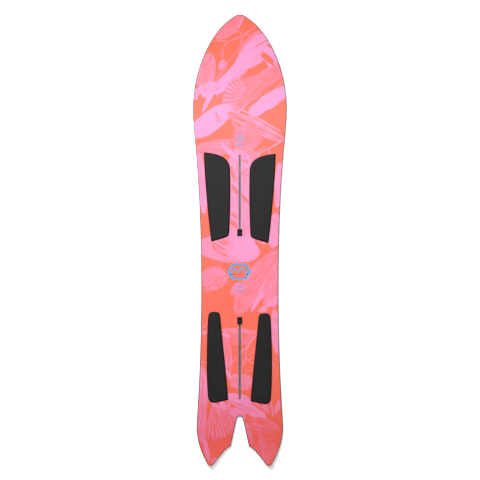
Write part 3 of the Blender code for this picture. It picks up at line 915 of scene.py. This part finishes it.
class Surface:
    """A Principled material in the making, with its node tree and the point in the board's own axes, in mm."""

    def __init__(self, name, roughness, metallic=0.0):
        self.material = bpy.data.materials.new(name)
        self.material.use_nodes = True
        self.tree = self.material.node_tree
        self.shader = self.tree.nodes["Principled BSDF"]
        self.shader.inputs["Roughness"].default_value = roughness
        self.shader.inputs["Metallic"].default_value = metallic
        place = self.tree.nodes.new("ShaderNodeTexCoord")
        self.point = place.outputs["Object"]
        self.normal = place.outputs["Normal"]

    def set(self, **values):
        for socket in self.shader.inputs:
            label = socket.name.lower().replace(" ", "_")
            if label in values:
                socket.default_value = values[label]

    def stretched(self, scale):
        node = self.tree.nodes.new("ShaderNodeVectorMath")
        node.operation = "MULTIPLY"
        node.inputs[1].default_value = [part / MM for part in scale]
        self.tree.links.new(self.point, node.inputs[0])
        return node.outputs[0]

    def noise(self, scale, detail=2.0, roughness=0.5):
        """Noise with this many repeats per millimetre along X, Y and Z."""
        node = self.tree.nodes.new("ShaderNodeTexNoise")
        node.inputs["Scale"].default_value = 1.0
        node.inputs["Detail"].default_value = detail
        node.inputs["Roughness"].default_value = roughness
        self.tree.links.new(self.stretched(scale), node.inputs["Vector"])
        return Field(self.tree, node.outputs[0])

    def streaks(self, degrees):
        """Brush lines in this direction across the deck, about -0.5 to 0.5."""
        place = self.tree.nodes.new("ShaderNodeMapping")
        place.vector_type = "TEXTURE"
        place.inputs["Location"].default_value = (degrees, degrees, 0)
        place.inputs["Rotation"].default_value = (0, 0, math.radians(degrees))
        place.inputs["Scale"].default_value = (STREAK_LENGTH * MM, STREAK_WIDTH * MM, 1)
        self.tree.links.new(self.point, place.inputs["Vector"])
        node = self.tree.nodes.new("ShaderNodeTexNoise")
        node.inputs["Scale"].default_value = 1.0
        node.inputs["Detail"].default_value = 3.0
        node.inputs["Roughness"].default_value = 0.65
        self.tree.links.new(place.outputs[0], node.inputs["Vector"])
        return Field(self.tree, node.outputs[0]).line(2.0, -1.0)

    def cells(self, scale):
        node = self.tree.nodes.new("ShaderNodeTexVoronoi")
        node.inputs["Scale"].default_value = 1.0
        self.tree.links.new(self.stretched(scale), node.inputs["Vector"])
        return Field(self.tree, node.outputs["Distance"])

    def upward(self):
        """How far the surface faces up, 0 to 1, before any relief."""
        node = self.tree.nodes.new("ShaderNodeSeparateXYZ")
        self.tree.links.new(self.normal, node.inputs[0])
        return Field(self.tree, node.outputs["Z"])

    def axis(self, label):
        node = self.tree.nodes.new("ShaderNodeSeparateXYZ")
        self.tree.links.new(self.point, node.inputs[0])
        return Field(self.tree, node.outputs[label]) * (1 / MM)

    def ramp(self, value, *stops):
        """A colour from a value, through stops of (value, colour)."""
        node = self.tree.nodes.new("ShaderNodeValToRGB")
        elements = node.color_ramp.elements
        while len(elements) < len(stops):
            elements.new(0.5)
        for element, (position, colour) in zip(elements, stops):
            element.position = position
            element.color = colour
        self.tree.links.new(value.socket, node.inputs[0])
        return node.outputs[0]

    def deepened(self, socket, amount, tint):
        """A colour multiplied by a tint, as far as the amount says."""
        node = self.tree.nodes.new("ShaderNodeMixRGB")
        node.blend_type = "MULTIPLY"
        node.inputs[2].default_value = tint
        self.tree.links.new(amount.socket, node.inputs[0])
        self.tree.links.new(socket, node.inputs[1])
        return node.outputs[0]

    def colour(self, socket):
        self.tree.links.new(socket, self.shader.inputs["Base Color"])

    def rough(self, value):
        self.tree.links.new(value.socket, self.shader.inputs["Roughness"])

    def bump(self, height, distance):
        """Relief: a height of 0 to 1 stands for this many metres."""
        node = self.tree.nodes.new("ShaderNodeBump")
        node.inputs["Distance"].default_value = distance
        self.tree.links.new(height.socket, node.inputs["Height"])
        self.tree.links.new(node.outputs[0], self.shader.inputs["Normal"])


CORAL = (0.98, 0.15, 0.09, 1)
ROSE = (0.98, 0.215, 0.30, 1)
PINK = (0.98, 0.31, 0.58, 1)
# Painted shade: from 469 mm behind the middle, over the next 230 mm, the print's colour is multiplied more and
# more by this colour, for the light falling off towards the tail.
TAIL_PAINTED_SHADE = (0.86, 0.58, 0.62, 1)
PAINTED_SHADE_START = -469.2
PAINTED_SHADE_LENGTH = 230.0


def printed_nylon():
    """Satin topsheet: the print, slightly uneven ink, fine scuffs, a clear surface, and painted shade that
    darkens it towards the tail.
    """
    made = Surface("printed topsheet", 0.38)
    made.set(coat_weight=0.25, coat_roughness=0.4, specular_ior_level=0.35)
    drift = made.noise((0.011, 0.011, 0.0), detail=1.0)
    drift_too = made.noise((0.013, 0.009, 0.05), detail=1.0)
    wobble = made.noise((0.16, 0.16, 0.0), detail=2.0) - 0.5
    x = drift.line(9.0, -4.5) + made.axis("X") + wobble * 3.0
    y = drift_too.line(9.0, -4.5) + made.axis("Y") + wobble * -3.0
    cloud = made.noise((0.03, 0.03, 0.0), detail=2.0).line(0.3, -0.15).limited()
    art = Canvas(made, x, y, cloud)
    for painter in PAINTERS:
        painter(art)
    speckle = made.noise((0.9, 0.9, 0.0), detail=3.0) - 0.5
    shade = made.noise((0.035, 0.035, 0.0), detail=3.0) - 0.5
    tone = art.tone + speckle * 0.16 + shade * 0.5
    colours = made.ramp(tone, (0.03, CORAL), (0.5, ROSE), (0.95, PINK))
    # Painted shade: the print darkens towards the tail.
    painted_shade_to_tail = made.axis("Y").line(-1 / PAINTED_SHADE_LENGTH, PAINTED_SHADE_START / PAINTED_SHADE_LENGTH).limited()
    made.colour(made.deepened(colours, painted_shade_to_tail, TAIL_PAINTED_SHADE))
    scuffs = made.noise((0.5, 0.02, 0.0), detail=4.0, roughness=0.7)
    made.rough(scuffs.line(0.3, 0.25))
    made.bump(made.noise((1.2, 1.2, 1.2), detail=2.0), 0.02 * MM)
    return made.material


def pad_foam():
    """Closed-cell foam: fine open cells on a skived face, with painted shade that darkens the sloped bevel
    round it.
    """
    made = Surface("pad foam", 0.5)
    made.set(specular_ior_level=0.2)
    cells = made.cells((0.9, 0.9, 0.9))
    cloud = made.noise((0.03, 0.03, 0.03), detail=3.0)
    worn = made.noise((0.35, 0.35, 0.35), detail=4.0, roughness=0.7)
    # Painted shade: the more a face slopes away from up, the darker its colour.
    painted_slope_shade = made.upward().line(2.5, -1.5).limited()
    value = (cells.line(0.4, 0.0) + cloud * 0.5 + worn * 0.4) * painted_slope_shade
    made.colour(made.ramp(value, (0.0, srgb(5, 5, 6)), (0.45, srgb(21, 20, 21)), (0.8, srgb(33, 32, 33))))
    made.rough(cloud.line(0.15, 0.42))
    made.bump(cells + made.noise((2.5, 2.5, 2.5), detail=2.0), 0.05 * MM)
    return made.material


def plug_nylon():
    made = Surface("moulded nylon", 0.5)
    made.set(specular_ior_level=0.2)
    texture = made.noise((3.0, 3.0, 3.0), detail=3.0)
    cloud = made.noise((0.15, 0.15, 0.15), detail=2.0)
    made.colour(made.ramp(cloud, (0.3, srgb(6, 6, 7)), (0.7, srgb(14, 14, 15))))
    made.rough(texture.line(0.25, 0.45))
    made.bump(texture, 0.05 * MM)
    return made.material


def rail_aluminium():
    """Extruded and anodised: streaks along the track, rubbed darker in places."""
    made = Surface("anodised aluminium", 0.5, metallic=0.75)
    streaks_along = made.noise((3.0, 0.03, 3.0), detail=3.0)
    rubbed = made.noise((0.1, 0.02, 0.1), detail=3.0)
    value = streaks_along * 0.55 + rubbed * 0.45
    stops = ((0.3, srgb(72, 76, 74)), (0.5, srgb(112, 115, 113)), (0.7, srgb(146, 150, 148)))
    made.colour(made.ramp(value, *stops))
    made.rough(streaks_along.line(0.25, 0.38))
    made.bump(streaks_along, 0.02 * MM)
    return made.material


def steel():
    """Ground edge steel: fine scratches along the edge, and a faint brown bloom in places."""
    made = Surface("ground steel", 0.3, metallic=1.0)
    scratches = made.noise((2.0, 0.06, 2.0), detail=4.0, roughness=0.6)
    bloom = made.noise((0.02, 0.02, 0.02), detail=4.0).line(2.2, -0.9).limited()
    value = scratches * 0.4 + bloom * 0.6
    stops = ((0.1, srgb(214, 216, 216)), (0.6, srgb(190, 190, 188)), (1.0, srgb(150, 142, 130)))
    made.colour(made.ramp(value, *stops))
    made.rough(scratches.line(0.3, 0.2))
    made.bump(scratches, 0.03 * MM)
    return made.material


def polyethylene():
    """Sintered base: cloudy black, with the crossed lines of a stone grind."""
    made = Surface("sintered base", 0.4)
    x, y = made.axis("X"), made.axis("Y")
    grind = (x * 0.25 + y).wave() * 0.5 + (x * -0.25 + y).wave() * 0.5
    cloud = made.noise((0.06, 0.06, 0.06), detail=4.0)
    made.colour(made.ramp(cloud, (0.3, srgb(26, 26, 28)), (0.7, srgb(44, 44, 47))))
    made.rough(cloud.line(0.25, 0.28))
    made.bump(grind, 0.02 * MM)
    return made.material


def sidewall_abs():
    """Pale sanded ABS: fine lines along the rim and a cloudy, slightly green white."""
    made = Surface("sanded abs", 0.5)
    lines = made.noise((1.5, 0.08, 3.0), detail=3.0)
    cloud = made.noise((0.08, 0.08, 0.3), detail=3.0)
    value = lines * 0.5 + cloud * 0.5
    stops = ((0.3, srgb(186, 200, 198)), (0.5, srgb(204, 217, 215)), (0.7, srgb(218, 229, 227)))
    made.colour(made.ramp(value, *stops))
    made.rough(lines.line(0.3, 0.38))
    made.bump(lines, 0.04 * MM)
    return made.material


def glass_laminate():
    """Cured resin over woven glass."""
    made = Surface("glass laminate", 0.35)
    x, y = made.axis("X"), made.axis("Y")
    weave = (x + y * 0.02).wave() * (y + x * 0.02).wave()
    resin = made.noise((0.2, 0.2, 0.2), detail=2.0)
    made.colour(made.ramp(weave * 0.5 + resin * 0.5, (0.2, srgb(150, 158, 128)), (0.8, srgb(206, 212, 184))))
    made.rough(weave.line(0.2, 0.25))
    made.bump(weave, 0.05 * MM)
    return made.material


def core_wood():
    """Poplar strips: glue lines every few centimetres and fine grain along the board."""
    made = Surface("poplar core", 0.6)
    x = made.axis("X")
    grain = made.noise((0.8, 0.02, 0.8), detail=4.0, roughness=0.6)
    strip = (x * (1 / 12.0)).to("FLOOR").line(0.37, 0.0).to("FRACT")
    value = grain * 0.7 + strip * 0.3
    made.colour(made.ramp(value, (0.2, srgb(168, 128, 84)), (0.8, srgb(222, 190, 146))))
    made.rough(grain.line(0.3, 0.45))
    made.bump(grain, 0.08 * MM)
    return made.material


def edge_rubber():
    made = Surface("foil rubber", 0.8)
    cloud = made.noise((0.4, 0.4, 0.4), detail=3.0)
    made.colour(made.ramp(cloud, (0.3, srgb(30, 30, 30)), (0.7, srgb(52, 51, 50))))
    made.rough(cloud.line(0.3, 0.6))
    made.bump(cloud, 0.05 * MM)
    return made.material


def pad_adhesive():
    made = Surface("adhesive film", 0.5)
    cloud = made.noise((0.3, 0.3, 0.3), detail=3.0)
    made.colour(made.ramp(cloud, (0.3, srgb(196, 190, 164)), (0.7, srgb(222, 216, 194))))
    made.rough(cloud.line(0.3, 0.35))
    made.bump(cloud, 0.04 * MM)
    return made.material


def ink(name, thin, full):
    """Screen ink, a little thinner in places."""
    made = Surface(name, 0.4)
    made.set(coat_weight=0.3, coat_roughness=0.2)
    cover = made.noise((0.8, 0.8, 0.8), detail=3.0)
    made.colour(made.ramp(cover, (0.3, thin), (0.65, full)))
    made.rough(cover.line(0.2, 0.3))
    return made.material


FINISHES = {
    "polyethylene": polyethylene,
    "steel": steel,
    "edge_rubber": edge_rubber,
    "glass_laminate": glass_laminate,
    "core_wood": core_wood,
    "abs": sidewall_abs,
    "printed_nylon": printed_nylon,
    "rail_aluminium": rail_aluminium,
    "plug_nylon": plug_nylon,
    "pad_foam": pad_foam,
    "pad_adhesive": pad_adhesive,
}


def paint(made, material):
    made.data.materials.clear()
    made.data.materials.append(material)


def dress_frame(finishes):
    """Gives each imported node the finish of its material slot."""
    for part in frame["record"]["subparts"]:
        node = frame["nodes"][part["node"]]
        for material_slot in node.material_slots:
            material_slot.material = finishes[part["material_slot"]]


# ---------------------------------------------------------------- studio


def make_floor():
    made = Surface("studio floor", 0.9)
    shade = made.noise((0.004, 0.004, 0.004), detail=2.0)
    made.colour(made.ramp(shade, (0.3, (0.90, 0.90, 0.90, 1)), (0.7, (0.92, 0.92, 0.92, 1))))
    made.set(emission_color=(1, 1, 1, 1), emission_strength=FLOOR_GLOW)
    bm = bmesh.new()
    bmesh.ops.create_grid(bm, x_segments=1, y_segments=1, size=12.0)
    floor = new_object("floor", bm)
    floor.location.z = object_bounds()[0][2] - FLOOR_GAP
    floor.data.materials.append(made.material)


def area_light(name, place, aim, size, watts):
    data = bpy.data.lights.new(name, "AREA")
    data.shape = "DISK"
    data.size = size
    data.energy = watts
    made = bpy.data.objects.new(name, data)
    made.location = place
    made.rotation_euler = (Vector(aim) - Vector(place)).to_track_quat("-Z", "Y").to_euler()
    bpy.context.scene.collection.objects.link(made)


def make_studio():
    make_floor()
    area_light("key", KEY_PLACE, (0, 0.5, 0), 0.9, KEY_WATTS)
    area_light("overhead", OVERHEAD_PLACE, (0, 0.3, 0), 2.6, OVERHEAD_WATTS)
    world = bpy.data.worlds.new("studio")
    world.use_nodes = True
    background = world.node_tree.nodes["Background"]
    background.inputs["Color"].default_value = (1, 1, 1, 1)
    background.inputs["Strength"].default_value = WORLD_STRENGTH
    bpy.context.scene.world = world
    bpy.context.scene.view_settings.view_transform = "Standard"


def make_camera(deck_z):
    data = bpy.data.cameras.new("camera")
    data.lens = LENS
    data.sensor_width = SENSOR
    data.clip_end = 100
    made = bpy.data.objects.new("camera", data)
    made.location = (*VIEW_CENTRE, VIEW_HEIGHT * LENS / SENSOR + deck_z)
    bpy.context.scene.collection.objects.link(made)
    bpy.context.scene.camera = made


def main():
    finishes = {name: make() for name, make in FINISHES.items()}
    dress_frame(finishes)
    inks = {
        "border": ink("dark rim line", srgb(46, 34, 36), srgb(30, 24, 26)),
        "tick": ink("violet ink", srgb(128, 150, 216), srgb(100, 140, 224)),
        "emblem": ink("sky ink", srgb(70, 152, 206), srgb(50, 146, 208)),
        "mark": ink("cyan ink", srgb(10, 172, 228), srgb(0, 172, 236)),
        "arrow": ink("navy ink", srgb(20, 34, 74), srgb(24, 44, 100)),
    }
    deck, rim, height, ridge_z = make_deck()
    paint(deck, finishes["printed_nylon"])
    for place in ("front", "rear"):
        plug, dish_z = make_plug(place)
        paint(plug, finishes["plug_nylon"])
        make_plug_mark(place, dish_z, inks["arrow"])
        for side in ("left", "right"):
            paint(make_pad(place, side), finishes["pad_foam"])
    make_prints(rim, height, ridge_z, inks)
    make_studio()
    make_camera(ridge_z)


main()
